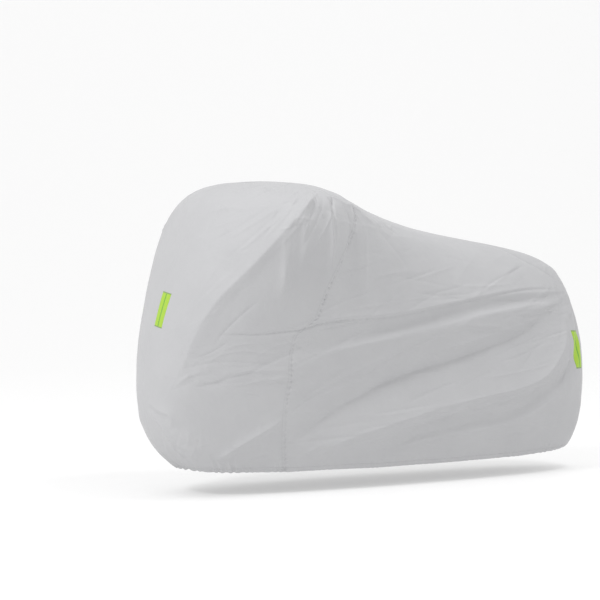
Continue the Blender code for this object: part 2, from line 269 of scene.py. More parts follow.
def fan_height(x, z):
    """Height of the long folds at a place in the side view."""
    ahead, below = FAN_X - x, FAN_HEIGHT - z
    radius = np.hypot(ahead, below)
    angle = np.degrees(np.arctan2(below, ahead))
    height = np.zeros_like(x)
    for upper, lower in zip(FAN_FOLDS, FAN_FOLDS[1:]):
        angle_a = np.interp(radius, FAN_RADII, upper.angles)
        angle_b = np.interp(radius, FAN_RADII, lower.angles)
        height_a = np.interp(radius, FAN_RADII, upper.heights) / 1000
        height_b = np.interp(radius, FAN_RADII, lower.heights) / 1000
        t = (angle - angle_a) / (angle_b - angle_a)
        blend = ((t**3 - 2 * t**2 + t) * upper.crisp + 3 * t**2 - 2 * t**3
                 + (t**3 - t**2) * lower.crisp)
        height = np.where((t >= 0) & (t < 1), height_a + (height_b - height_a) * blend, height)
    start = smooth_step(radius / FAN_RADII[0])
    return height * start * smooth_step((FAN_REACH - radius) / FAN_FADE)


# Folds that hang from the grip on the near side.
HangingFold = namedtuple("HangingFold", "top_x top_z foot_x foot_z height half_width")
HANGING_FOLDS = [
    HangingFold(-0.75, 1.20, -0.73, 0.88, 0.010, 0.030),
    HangingFold(-0.66, 1.19, -0.67, 0.99, 0.004, 0.035),
    HangingFold(-0.55, 1.25, -0.53, 0.97, 0.010, 0.024),
    HangingFold(-0.38, 1.16, -0.33, 0.83, 0.007, 0.048),
]
# How each of them begins, ends and fades, in shares of its own length.
HANGING_START = 0.2
HANGING_END = 1.25
HANGING_FADE = 0.5


def hanging_height(x, z):
    """Height of the folds under the near grip."""
    height = np.zeros_like(x)
    for fold in HANGING_FOLDS:
        down = (fold.top_z - z) / (fold.top_z - fold.foot_z)
        middle = fold.top_x + (fold.foot_x - fold.top_x) * np.clip(down, 0, 1)
        across = np.exp(-1.5 * ((x - middle) / fold.half_width) ** 2)
        start = smooth_step(down / HANGING_START)
        end = smooth_step((HANGING_END - down) / HANGING_FADE)
        height = height + fold.height * across * start * end
    return height


# The ridge from the grip down to the cheek: its station at each level.
RIDGE_LEVELS = (1.9, 2.5, 2.86, 3.2, 3.6, 3.9, 4.2)
RIDGE_STATIONS = (1.85, 1.87, 2.03, 2.4, 2.6, 2.88, 3.25)
RIDGE_HEIGHT = 0.012
RIDGE_HALF_WIDTH = 1.1  # in stations
RIDGE_ENDS = (1.9, 4.5)  # its foot and its top, in levels
RIDGE_FADES = (0.6, 0.4)  # and over how many levels it fades out there


def ridge_height(station, level):
    """Height of the ridge that parts the front face from the side."""
    crest = np.interp(level, RIDGE_LEVELS, RIDGE_STATIONS)
    across = np.clip(1 - np.abs(station - crest) / RIDGE_HALF_WIDTH, 0, 1) ** 2
    foot = smooth_step((level - RIDGE_ENDS[0]) / RIDGE_FADES[0])
    top = smooth_step((RIDGE_ENDS[1] - level) / RIDGE_FADES[1])
    return RIDGE_HEIGHT * across * foot * top


# The bars are turned to the left and pull the top of the nose round with them.
STEER_TOP = np.radians(7)
STEER_LOW = np.radians(0.5)
STEER_LOW_HEIGHT = 0.55
STEER_TOP_HEIGHT = 1.20
STEER_AXIS_X = -0.80  # where the steering axis meets the ground
STEER_AXIS_RAKE = 0.27  # how far it leans back for each metre up
STEER_FROM_X = -0.15
STEER_TO_X = -0.60


def steer(point):
    """Turns the front about the raked steering axis, most at the bars."""
    x, y, z = point[..., 0], point[..., 1], point[..., 2]
    axis_x = STEER_AXIS_X + STEER_AXIS_RAKE * z
    lift = smooth_step((z - STEER_LOW_HEIGHT) / (STEER_TOP_HEIGHT - STEER_LOW_HEIGHT))
    share = smooth_step((STEER_FROM_X - x) / (STEER_FROM_X - STEER_TO_X))
    angle = (STEER_LOW + (STEER_TOP - STEER_LOW) * lift) * share
    turned_x = axis_x + np.cos(angle) * (x - axis_x) - np.sin(angle) * y
    turned_y = np.sin(angle) * (x - axis_x) + np.cos(angle) * y
    return np.stack([turned_x, turned_y, z], axis=-1)


# The seam kinks forward where the crease crosses it: stations at each level.
KINK_LEVELS = (2.0, 2.3, 2.5, 2.7, 3.0, 5.0)
KINK_STATIONS = (0, -0.12, -0.20, 0.06, 0, 0)

# The cloth lies flat along the centre line and folds further out.
FLAT_HALF_WIDTH = 0.02
FOLD_RAMP = 0.10

# Creases too fine for the pattern's own folds, laid along the cloth. Each
# row of path is a station, a level and a height in millimetres; a crest is
# above 0 and a trough below. Right and left are the widths, in millimetres, on
# the two hands of someone who walks the path on the near side's outer face;
# soft is 0 for a sharp crest.
Crease = namedtuple("Crease", "name side right left soft path")
CREASES = [
    Crease("edge of the front face", "near", 34, 60, 0.25, (
        (3.02, 4.02, 3.8), (2.64, 3.70, 6.2), (2.56, 3.52, 7.5), (2.44, 3.28, 7.5), (2.30, 3.06, 7.5),
        (2.04, 2.88, 7.5), (1.90, 2.66, 6.2), (1.86, 2.54, 3.8), (1.90, 2.34, 0))),
    Crease("foot of that edge", "near", 30, 30, 0.5, (
        (3.10, 3.62, -0.6), (2.96, 3.36, -2.4), (2.84, 3.10, -3), (2.60, 2.86, -3), (2.44, 2.62, -1.8),
        (2.40, 2.40, 0))),
    Crease("cross crease", "near", 7, 4, 0.1, (
        (2.78, 2.50, 0), (3.48, 2.50, -4), (3.98, 2.50, -5.5), (4.80, 2.56, -6.5), (5.14, 2.64, -6.5),
        (5.48, 2.70, -6), (6.24, 2.82, -6), (6.96, 3.02, -6), (7.78, 3.26, -5.5), (8.52, 3.46, -4),
        (9.42, 3.60, 0))),
    Crease("cross crease, lower line", "near", 10, 5, 0.1, (
        (4.90, 2.52, 0), (5.38, 2.62, -4.2), (5.72, 2.70, -4.2), (6.10, 2.76, 0))),
    Crease("edge above the cross crease", "near", 9, 16, 0.2, (
        (5.00, 2.64, 0), (5.48, 2.735, 4.2), (6.24, 2.86, 5.1), (6.96, 3.06, 5.1), (7.78, 3.30, 4.2),
        (8.52, 3.50, 2.5), (9.30, 3.62, 0))),
    Crease("rib under the crease", "near", 20, 15, 0.25, (
        (9.10, 3.34, 0), (8.78, 3.22, 6), (8.24, 3.10, 8), (7.58, 2.94, 8.5), (7.02, 2.76, 8.5),
        (6.48, 2.62, 7.5), (6.00, 2.48, 6), (5.56, 2.36, 3.5), (5.20, 2.28, 0))),
    Crease("valley floor", "near", 20, 22, 0.3, (
        (4.70, 0.78, 0), (5.16, 0.94, -4), (5.48, 1.22, -6), (5.72, 1.46, -8), (6.06, 1.70, -9),
        (6.36, 1.90, -10), (6.76, 2.08, -10), (7.22, 2.22, -10), (7.66, 2.40, -10), (8.10, 2.56, -9),
        (8.54, 2.82, -8), (8.94, 3.16, -6), (9.42, 3.46, 0))),
    Crease("leaf edge", "near", 26, 15, 0.12, (
        (9.54, 3.50, 0), (9.38, 3.02, 6), (9.16, 2.54, 9), (8.94, 2.24, 10.5), (8.62, 1.92, 11),
        (8.20, 1.74, 11), (7.76, 1.64, 10.5), (7.30, 1.54, 9), (6.84, 1.36, 8), (6.42, 1.16, 6),
        (5.90, 0.88, 4), (5.56, 0.58, 0))),
    Crease("hollow below the leaf", "near", 30, 20, 0.3, (
        (9.06, 2.26, 0), (8.80, 1.90, -5.1), (8.40, 1.66, -8.5), (7.66, 1.42, -8.5), (7.02, 1.20, -6.8),
        (6.56, 0.96, -3.4), (6.20, 0.80, 0))),
    Crease("low ridge", "near", 24, 16, 0.2, (
        (8.96, 1.66, 0), (8.76, 1.44, 6), (8.36, 1.16, 9), (7.90, 0.98, 9), (7.38, 0.92, 8),
        (6.90, 0.76, 6), (6.54, 0.54, 0))),
    Crease("low side ridge", "near", 22, 22, 0.3, (
        (7.00, 1.06, 0), (7.22, 0.98, 3.4), (8.04, 0.44, 5.1), (8.46, 0.04, 1.7))),
    Crease("fold over the grip", "near", 9, 20, 0.1, (
        (2.72, 3.62, 0), (2.80, 3.74, 5), (2.90, 3.86, 8), (3.10, 3.97, 9), (3.40, 3.88, 8),
        (3.66, 3.78, 4), (3.80, 3.72, 0))),
    Crease("pinch over the grip", "near", 8, 8, 0.1, (
        (3.96, 4.16, 0), (4.02, 4.06, -7), (3.98, 3.94, -8), (4.04, 3.80, -3), (4.10, 3.70, 0))),
    Crease("grip fold, crest", "near", 16, 22, 0.15, (
        (2.62, 3.60, 0), (2.80, 3.48, 4), (3.40, 3.24, 6), (3.80, 3.04, 5), (4.04, 2.90, 0))),
    Crease("grip fold, trough", "near", 16, 16, 0.3, (
        (2.76, 3.66, 0), (3.04, 3.50, -5.2), (3.36, 3.36, -6.5), (4.00, 3.02, -3.9), (4.20, 2.90, 0))),
    Crease("patch under the grip", "near", 16, 18, 0.4, (
        (3.00, 3.76, 0), (3.10, 3.68, 3.9), (3.46, 3.52, 5.2), (3.84, 3.32, 3.9), (4.10, 3.14, 0))),
    Crease("second grip fold, crest", "near", 18, 12, 0.15, (
        (3.94, 3.84, 0), (4.04, 3.74, 8.5), (4.34, 3.54, 10.2), (4.72, 3.28, 6.8), (4.90, 3.12, 0))),
    Crease("second grip fold, trough", "near", 12, 12, 0.2, (
        (4.02, 4.04, 0), (4.00, 3.96, -6.8), (4.20, 3.72, -8.5), (4.58, 3.44, -6.8), (4.86, 3.20, 0))),
    Crease("trough by the seam", "near", 14, 14, 0.4, (
        (4.70, 3.92, 0), (4.78, 3.80, -5.1), (4.98, 3.50, -5.1), (5.10, 3.24, 0))),
    Crease("ridge behind the seam", "near", 18, 18, 0.4, (
        (5.22, 3.92, 0), (5.30, 3.78, 3.4), (5.52, 3.36, 5.1), (5.66, 3.06, 3.4), (5.74, 2.88, 0))),
    Crease("shoulder fold", "near", 10, 22, 0.15, (
        (3.60, 4.06, 0), (3.86, 4.10, 5.1), (4.20, 4.10, 6.8), (4.60, 4.04, 5.1), (5.02, 4.10, 6.8),
        (5.40, 4.02, 5.1), (5.80, 4.02, 0))),
    Crease("haunch ridge", "near", 10, 16, 0.15, (
        (7.36, 3.14, 0), (7.56, 3.30, 5.1), (7.94, 3.58, 6.8), (8.20, 3.80, 6.8), (8.46, 4.00, 0))),
    Crease("haunch trough", "near", 10, 8, 0.2, (
        (7.50, 3.22, 0), (7.66, 3.40, -5.1), (8.06, 3.68, -6.8), (8.34, 3.88, -5.1), (8.62, 4.06, 0))),
    Crease("line along the tail's top", "near", 12, 8, 0.15, (
        (7.92, 4.82, 0), (8.28, 4.70, -4.2), (8.62, 4.30, -5.1), (9.02, 4.06, -5.1), (9.36, 3.90, -5.1),
        (9.52, 3.60, 0))),
    Crease("tail corner line", "near", 8, 10, 0.2, (
        (9.44, 2.94, 0), (9.62, 3.14, 4.2), (9.82, 3.38, 5.1), (10.0, 3.64, 0))),
    Crease("fold under the tail", "near", 12, 12, 0.2, (
        (9.50, 3.10, 0), (9.42, 2.90, -5.1), (9.26, 2.36, -6.8), (9.14, 1.96, -6.8), (8.90, 1.58, 0))),
    Crease("low front edge", "near", 14, 24, 0.15, (
        (0.30, 1.70, 0), (0.50, 1.68, 7), (1.02, 1.60, 12), (1.46, 1.54, 12), (1.58, 1.42, 8),
        (1.58, 1.28, 0))),
    Crease("low front streak", "near", 14, 16, 0.2, (
        (0.46, 1.62, 0), (0.56, 1.52, 8), (1.08, 1.22, 11), (1.38, 0.74, 9), (1.50, 0.50, 0))),
    Crease("low streak by the seam", "near", 16, 18, 0.25, (
        (4.96, 1.46, 0), (4.80, 1.32, 7), (4.26, 1.02, 12), (3.60, 0.62, 8), (3.30, 0.44, 0))),
    Crease("line under the cheek", "near", 10, 12, 0.3, (
        (3.40, 2.10, 0), (3.64, 2.10, 3), (4.26, 2.12, 4.5), (4.80, 2.12, 3), (5.00, 2.12, 0))),
    Crease("upper wrinkle", "near", 6, 6, 0.3, (
        (1.66, 2.16, 0), (2.40, 2.18, -2.5), (3.20, 2.22, -2.5), (4.20, 2.20, -2.5), (4.86, 2.16, 0))),
    Crease("lower wrinkle", "near", 8, 8, 0.3, (
        (2.32, 1.98, 0), (3.00, 1.94, -2.5), (3.80, 1.98, -2.5), (4.84, 1.94, 0))),
    Crease("brow bumps", "near", 10, 14, 0.4, (
        (0.12, 3.80, 0), (0.40, 3.88, 3.4), (0.66, 3.92, 5.1), (1.00, 3.90, 1.7), (1.34, 3.94, 5.1),
        (1.60, 3.93, 1.7), (1.88, 3.96, 0))),
    Crease("hem line at the front", "near", 7, 9, 0.2, (
        (3.70, 0.14, 0), (3.96, 0.12, -3.4), (4.88, 0.08, -4.2), (5.20, 0.08, 0))),
    Crease("far cross crease", "far", 7, 5, 0.2, (
        (2.60, 2.45, 0), (3.60, 2.52, -2.5), (5.10, 2.62, -3.4), (6.80, 3.00, -3.4), (8.40, 3.42, -2.5),
        (9.30, 3.58, 0))),
    Crease("far haunch fold", "far", 12, 20, 0.2, (
        (6.10, 1.80, 0), (6.90, 2.20, 5.1), (7.90, 2.52, 6.8), (8.70, 2.90, 5.1), (9.30, 3.40, 0))),
    Crease("far grip fold", "far", 18, 18, 0.3, (
        (3.10, 3.90, 0), (3.30, 3.60, 6.8), (3.60, 3.20, 6.8), (3.90, 2.80, 0))),
    Crease("far low fold", "far", 22, 22, 0.3, (
        (0.60, 1.60, 0), (1.40, 1.30, 5.1), (2.60, 1.10, 6.8), (3.80, 0.80, 0))),
]
CREASE_REACH = 4  # in widths, past which a crease isn't felt


def smooth_path(rows, steps=6):
    """A curve through the rows, with steps points for each gap."""
    rows = np.array(rows, float)
    padded = np.concatenate([2 * rows[:1] - rows[1:2], rows, 2 * rows[-1:] - rows[-2:-1]])
    t = (np.arange(steps) / steps)[:, None]
    curve = []
    for a, b, c, d in zip(padded, padded[1:], padded[2:], padded[3:]):
        curve.append(0.5 * (2 * b + (c - a) * t + (2 * a - 5 * b + 4 * c - d) * t**2
                            + (3 * b - a - 3 * c + d) * t**3))
    return np.concatenate([*curve, rows[-1:]])


def crease_height(points, normals, near):
    """Height of the fine creases at each point of the cover without folds."""
    height = np.zeros(len(points))
    for crease in CREASES + WRINKLES:
        if crease.side == ("far" if near else "near"):
            continue
        curve = smooth_path(crease.path)
        line = smooth_cover(curve[:, 0], curve[:, 1])
        reach = CREASE_REACH * max(crease.right, crease.left) / 1000
        inside = np.all((points > line.min(0) - reach) & (points < line.max(0) + reach), axis=1)
        chosen = np.flatnonzero(inside)
        if len(chosen) == 0:
            continue
        spots, facing = points[chosen], normals[chosen]
        nearest = np.full(len(chosen), np.inf)
        lift = np.zeros(len(chosen))
        offside = np.zeros(len(chosen))
        lifts = curve[:, 2]
        for start, end, h_start, h_end in zip(line, line[1:], lifts, lifts[1:]):
            run = end - start
            share = np.clip((spots - start) @ run / max(run @ run, 1e-12), 0, 1)
            away = spots - start - share[:, None] * run
            distance = np.linalg.norm(away, axis=1)
            closer = distance < nearest
            nearest = np.where(closer, distance, nearest)
            lift = np.where(closer, h_start + (h_end - h_start) * share, lift)
            offside = np.where(closer, np.einsum("ij,ij->i", np.cross(run, away), facing), offside)
        width = np.where(offside > 0, crease.right, crease.left) / 1000
        across = nearest / width
        height[chosen] += lift / 1000 * np.exp(crease.soft - np.sqrt(across**2 + crease.soft**2))
    return height


# The cloth is crumpled all over: the wavelength and height of each size of
# crumple, in millimetres, how far it is drawn out along the cover, and how
# much of it breaks into sharp lines.
Crumple = namedtuple("Crumple", "wavelength height stretch sharp seed")
CRUMPLES = [
    Crumple(260, 3.2, 1.6, 0.2, 3.1),
    Crumple(120, 1.9, 1.4, 0.6, 7.7),
    Crumple(55, 0.8, 1.3, 0.6, 12.3),
    Crumple(24, 0.3, 1.0, 0.4, 21.9),
]
LINE_HEIGHT = 0.4  # of the sharp lines, in shares of the crumple's height
LINE_FALL = 2  # how steeply they fall away


def crumple_height(points):
    """Height of the all-over crumple at each point."""
    height = np.zeros(len(points))
    for crumple in CRUMPLES:
        scale = 1000 / crumple.wavelength
        sizes = np.array([scale / crumple.stretch, scale, scale])
        places = points * sizes + crumple.seed
        lumps = np.array([noise.noise(place) for place in places.tolist()])
        lines = LINE_HEIGHT - LINE_FALL * np.abs(lumps)
        broken = lumps * (1 - crumple.sharp) + lines * crumple.sharp
        height += crumple.height / 1000 * broken
    return height


# Small wrinkles come in groups: the stations and levels that a group covers,
# the way its wrinkles run and how far that varies, and their size. Lengths and
# ways are in stations and levels, heights and widths in millimetres.
WrinkleGroup = namedtuple("WrinkleGroup", "name count stations levels way stray height width")
WRINKLE_GROUPS = [
    WrinkleGroup("crown of the nose", 64, (0.1, 3.2), (3.5, 4.6), (0.26, 0.14), 0.15, 2.6, 5),
    WrinkleGroup("round the grip", 34, (2.7, 6.2), (3.6, 4.3), (0.20, -0.18), 0.14, 2.6, 5),
    WrinkleGroup("under the cheek", 34, (1.8, 4.9), (1.85, 2.65), (0.55, 0.02), 0.08, 2.2, 5),
    WrinkleGroup("face", 26, (0.1, 1.9), (1.9, 3.7), (0.20, 0.16), 0.20, 1.0, 6),
    WrinkleGroup("front foot", 30, (0.1, 4.6), (0.15, 1.2), (0.25, 0.16), 0.16, 1.7, 6),
    WrinkleGroup("cross crease", 46, (5.1, 9.3), (2.5, 3.5), (0.50, 0.12), 0.09, 2.0, 5),
    WrinkleGroup("tank", 26, (5.3, 8.4), (3.3, 4.6), (0.24, 0.16), 0.18, 1.0, 6),
    WrinkleGroup("valley and leaf", 52, (5.2, 9.4), (0.7, 2.6), (0.42, 0.14), 0.09, 2.0, 6),
    WrinkleGroup("low side", 24, (5.2, 9.6), (0.1, 0.9), (0.26, 0.12), 0.14, 1.2, 6),
    WrinkleGroup("tail", 36, (8.2, 10.8), (2.0, 4.7), (0.20, 0.22), 0.16, 1.8, 5),
]
WRINKLE_SEED = 31
WRINKLE_SOFT = 0.3
# The spread of each wrinkle about its group's own values.
LENGTH_SHARES = (0.6, 1.4)
BEND_SHARES = (-0.14, 0.14)
HEIGHT_SHARES = (0.5, 1.2)
WIDTH_SHARES = (0.7, 1.6)
LEFT_SHARES = (0.6, 1)  # its left width as a share of its right
# One that would run past these stations and levels is left out.
STATION_LIMITS = (0.15, 10.85)
LEVEL_LIMITS = (0.1, 4.8)


def within(value, limits):
    return limits[0] < value < limits[1]


def wrinkle_creases():
    """The small wrinkles of every group, each as a short crease."""
    draw = np.random.default_rng(WRINKLE_SEED)
    creases = []
    for group in WRINKLE_GROUPS:
        for side in ("near", "far"):
            for _ in range(group.count if side == "near" else group.count // 2):
                middle = np.array([draw.uniform(*group.stations), draw.uniform(*group.levels)])
                way = np.array(group.way) * draw.uniform(*LENGTH_SHARES)
                way = way + draw.normal(0, group.stray, 2)
                bend = np.array([-way[1], way[0]]) * draw.uniform(*BEND_SHARES)
                height = group.height * draw.uniform(*HEIGHT_SHARES) * draw.choice((-1, 1))
                width = group.width * draw.uniform(*WIDTH_SHARES)
                half = way / 2
                spots = [middle - way, middle - half + bend, middle + half + bend, middle + way]
                if not all(within(station, STATION_LIMITS) and within(level, LEVEL_LIMITS)
                           for station, level in spots):
                    continue
                path = [(*spot, lift) for spot, lift in zip(spots, (0, height, height, 0))]
                left = width * draw.uniform(*LEFT_SHARES)
                creases.append(Crease(group.name, side, width, left, WRINKLE_SOFT, path))
    return creases


WRINKLES = wrinkle_creases()

# Sewn-on tape keeps the cloth under it flat: the middle and the half extent of
# each such place, in stations and levels, and how softly it ends.
TAPED_PLACES = (((0.28, 2.74), (0.30, 0.26)), ((9.60, 2.39), (0.30, 0.46)))
TAPE_SOFTNESS = 0.35


def tape_share(station, level):
    """How much of the fine creasing is left beside and under the tape."""
    left = np.ones_like(station)
    for (middle_s, middle_l), (half_s, half_l) in TAPED_PLACES:
        away_s = np.abs(station - middle_s) / half_s - 1
        away_l = np.abs(level - middle_l) / half_l - 1
        left = np.minimum(left, smooth_step(np.maximum(away_s, away_l) / TAPE_SOFTNESS))
    return left


# Elastic gathers the hem: how strong the gathers are at each station, how
# long each pucker is and how far up the cloth they fade out.
GATHER_STATIONS = (0, 1, 3, 4.5, 5.5, 7.5, 9, 11)
GATHER_HEIGHTS = (2.2, 3.0, 3.0, 1.8, 0.6, 0.6, 1.6, 2.2)  # millimetres
GATHER_PITCH = 0.034
GATHER_RISE = 0.036
GATHER_NOISE = (0.5, 0.7, 4.2)  # how fast it changes along the hem, and its seed
GATHER_SWING = 5  # radians that the puckers stray from even ones
GATHER_DRIFT = 0.6  # how far their height comes and goes
GATHER_DRIFT_PITCH = 0.23
GATHER_DRIFT_START = 1.0
GATHER_FADE_POWER = 1.3
GATHER_SPREAD = 0.4  # how much further up the high ones reach
PULL_STATIONS = (0, 3, 6, 8.5, 9.6, 11)  # and how far the elastic draws the hem in
PULLS = (0.006, 0.005, 0.003, 0.004, 0.013, 0.016)
PULL_RISE = 0.022


def gather_height(station, run, rise):
    """Height of the gathers: run is the way along the hem, rise the height
    above it."""
    along, across, seed = GATHER_NOISE
    places = [(r / GATHER_PITCH * along, s * across, seed) for r, s in zip(run, station)]
    swing = np.array([noise.noise(place) for place in places])
    pucker = np.sin(2 * np.pi * run / GATHER_PITCH + GATHER_SWING * swing)
    wave = np.sin(2 * np.pi * run / GATHER_DRIFT_PITCH + GATHER_DRIFT_START)
    drift = 1 + GATHER_DRIFT * wave
    strength = np.interp(station, GATHER_STATIONS, GATHER_HEIGHTS) / 1000
    spread = 1 + GATHER_SPREAD - GATHER_SPREAD * drift
    fade = np.exp(-((rise / GATHER_RISE) ** GATHER_FADE_POWER) * spread)
    return strength * drift * pucker * fade


# The upright seam lies in a groove, and its stitches pull up small puckers.
SEAM_GROOVE = 0.0020
SEAM_HALF_WIDTH = 0.0045
SEAM_PUCKER = 0.0028
SEAM_PUCKER_PITCH = 0.023
SEAM_PUCKER_REACH = 0.012
SEAM_PUCKER_SWING = 4.5  # radians that they stray from even ones
SEAM_NOISE_PITCH = 0.045
SEAM_NOISE_PLACE = (1.7, 0.4)
SEAM_DRIFT = 0.35  # how far their height comes and goes
SEAM_DRIFT_PITCH = 0.37
SEAM_DRIFT_START = 0.8
CENTRE_GROOVE = 0.0012
CENTRE_HALF_WIDTH = 0.004
CENTRE_RAMP = 0.03  # over which the fine creases run out towards that seam
CENTRE_CRUMPLE_SHARE = 0.35  # of the all-over crumple that is left along it
RUN_SAMPLES = 500


def line_run(station, level):
    """Way along the cover's own surface to each place of a line on it."""
    line = smooth_cover(station, level)
    return np.concatenate([[0], np.cumsum(np.linalg.norm(np.diff(line, axis=0), axis=1))])


def seam_height(station, level, step=0.1):
    """The groove of the upright seam, with the puckers beside it."""
    at_seam = np.full_like(level, SEAM_STATION)
    beside = smooth_cover(at_seam + step, level) - smooth_cover(at_seam, level)
    away = np.abs(station - SEAM_STATION) * np.linalg.norm(beside, axis=1) / step
    levels = np.linspace(0, CROWN_LEVEL, RUN_SAMPLES)
    run = np.interp(level, levels, line_run(np.full_like(levels, SEAM_STATION), levels))
    swing = np.array([noise.noise((r / SEAM_NOISE_PITCH, *SEAM_NOISE_PLACE)) for r in run])
    wave = np.sin(2 * np.pi * run / SEAM_DRIFT_PITCH + SEAM_DRIFT_START)
    strength = 1 - SEAM_DRIFT + SEAM_DRIFT * wave
    pucker = np.sin(2 * np.pi * run / SEAM_PUCKER_PITCH + SEAM_PUCKER_SWING * swing)
    groove = SEAM_GROOVE * np.exp(-((away / SEAM_HALF_WIDTH) ** 2))
    return SEAM_PUCKER * strength * pucker * np.exp(-away / SEAM_PUCKER_REACH) - groove


HEM_HEIGHT = 0.024  # of the casing that holds the elastic
HEM_FOLD = 0.0035  # how far inside the turned-in casing lies
HEM_ROWS = 6
HEM_NORMAL_LEVEL = 0.02  # just above the hem, where the way out of it is taken
EVEN_SAMPLES = 400
WALK_LEVELS = (0.5, 1.5, 2.5, 3.5, 4.3)  # where the way between stations is measured


def even_lines(start, end, cells, walk, crowd=0):
    """Lines from start to end, evenly spaced along the cloth, or with crowd
    above 0 closer together at the end, and below 0 at the start."""
    samples = np.linspace(start, end, EVEN_SAMPLES)
    lengths = np.concatenate([[0], np.cumsum(walk(samples))])
    share = np.linspace(0, 1, cells + 1)
    share = share + crowd * np.sin(np.pi * share) / np.pi
    return np.interp(share * lengths[-1], lengths, samples)


def mean_steps(lines):
    """Mean distance from each point to the next over several lines."""
    return np.mean([np.linalg.norm(np.diff(line, axis=0), axis=1) for line in lines], axis=0)


def station_walk(samples):
    return mean_steps([smooth_cover(samples, np.full_like(samples, v)) for v in WALK_LEVELS])


def level_walk(stations):
    def walk(samples):
        return mean_steps([smooth_cover(np.full_like(samples, u), samples) for u in stations])
    return walk


def draped_points(station, level, near):
    """The finished cloth at each station and level, folds and creases in."""
    shape = station.shape
    station, level = station.ravel(), level.ravel()
    seams = seam_height(station, level)
    if near:
        pull = np.clip(1 - np.abs(station - SEAM_STATION), 0, 1)
        station = station + np.interp(level, KINK_LEVELS, KINK_STATIONS) * pull
    point = smooth_cover(station, level)
    normal = smooth_normal(station, level)
    x, z = point[:, 0], point[:, 2]
    height = ridge_height(station, level)
    if near:
        height = height + fan_height(x, z) + hanging_height(x, z)
    else:
        height = height + fan_height(x, z) * FAR_FOLD_SHARE
    fine = crease_height(point, normal, near)
    rumple = crumple_height(point * (MIRROR if near else 1))
    ramp = smooth_step((point[:, 1] - FLAT_HALF_WIDTH) / FOLD_RAMP)
    centre = CENTRE_GROOVE * np.exp(-((point[:, 1] / CENTRE_HALF_WIDTH) ** 2))
    fine = fine * smooth_step((point[:, 1] - CENTRE_HALF_WIDTH) / CENTRE_RAMP)
    fine = fine * tape_share(station, level)
    rumple = rumple * (CENTRE_CRUMPLE_SHARE + (1 - CENTRE_CRUMPLE_SHARE) * ramp)
    height = height * ramp + fine + seams - centre + rumple
    hem = smooth_cover(station, np.zeros_like(station))
    run = np.interp(station, *hem_run())
    rise = np.maximum(z - hem[:, 2], 0)
    height = height + gather_height(station, run, rise)
    height = height - np.interp(station, PULL_STATIONS, PULLS) * np.exp(-rise / PULL_RISE)
    point = point + normal * height[:, None]
    if near:
        point = point * MIRROR
    point = steer(point) + np.array([0, 0, GROUND_Z])
    return point.reshape(*shape, 3)


def hem_run():
    """Stations and the way along the hem to each."""
    stations = np.linspace(0, TAIL_STATION, RUN_SAMPLES)
    return stations, line_run(stations, np.zeros_like(stations))


def draped_frame(station, level, near, step=0.02):
    """Points of the finished cloth, with the outward normal at each."""
    point = draped_points(station, level, near)
    along = draped_points(station + step, level, near) - draped_points(station - step, level, near)
    up = draped_points(station, level + step, near) - draped_points(station, level - step, near)
    normal = np.cross(along, up) if near else np.cross(up, along)
    return point, normal / np.maximum(np.linalg.norm(normal, axis=-1, keepdims=True), 1e-9)


def link_mesh(name, verts, faces, material):
    mesh = bpy.data.meshes.new(name)
    mesh.from_pydata(verts, [], faces)
    mesh.shade_smooth()
    mesh.materials.append(material)
    piece = bpy.data.objects.new(name, mesh)
    bpy.context.scene.collection.objects.link(piece)
    return piece


def make_cloth(name, near, station_lines, level_lines, material):
    """One panel as a single sheet, its hem turned in and up."""
    grid_s, grid_l = np.meshgrid(station_lines, level_lines, indexing="ij")
    points = draped_points(grid_s, grid_l, near)
    outward = smooth_normal(station_lines, np.full_like(station_lines, HEM_NORMAL_LEVEL))
    if near:
        outward = outward * MIRROR
    rows = []
    for k in range(HEM_ROWS, 0, -1):
        turn = min(k / 2, 1) * np.pi
        inside = HEM_FOLD / 2 * (1 - np.cos(turn))
        drop = -HEM_FOLD / 2 * np.sin(turn)
        rise = HEM_HEIGHT * max(k - 2, 0) / (HEM_ROWS - 2)
        row = points[:, 0] - outward * inside
        row[:, 2] += drop + rise
        rows.append(row)
    points = np.concatenate([np.stack(rows, axis=1), points], axis=1)
    columns, levels = points.shape[:2]
    index = np.arange(columns * levels).reshape(columns, levels)
    a, b = index[:-1, :-1], index[1:, :-1]
    c, d = index[1:, 1:], index[:-1, 1:]
    order = (a, b, c, d) if near else (d, c, b, a)
    faces = np.stack(order, axis=-1).reshape(-1, 4)
    return link_mesh(name, points.reshape(-1, 3).tolist(), faces.tolist(), material)


def new_material(name):
    material = bpy.data.materials.new(name)
    material.use_nodes = True
    return material


def set_inputs(material, node, values):
    """Sets a node's inputs by name, or links them where the value is a socket."""
    for name, value in values.items():
        if isinstance(value, bpy.types.NodeSocket):
            material.node_tree.links.new(value, node.inputs[name])
        else:
            node.inputs[name].default_value = value


def add_node(material, kind, values):
    node = material.node_tree.nodes.new(kind)
    set_inputs(material, node, values)
    return node


def add_ramp(material, share, *ends):
    """Colours of a ramp over a share, each end as its position and colour."""
    ramp = add_node(material, "ShaderNodeValToRGB", {"Fac": share})
    for element, (position, colour) in zip(ramp.color_ramp.elements, ends):
        element.position = position
        element.color = colour
    return ramp.outputs["Color"]


def finish_shader(material, values):
    set_inputs(material, material.node_tree.nodes["Principled BSDF"], values)
    return material


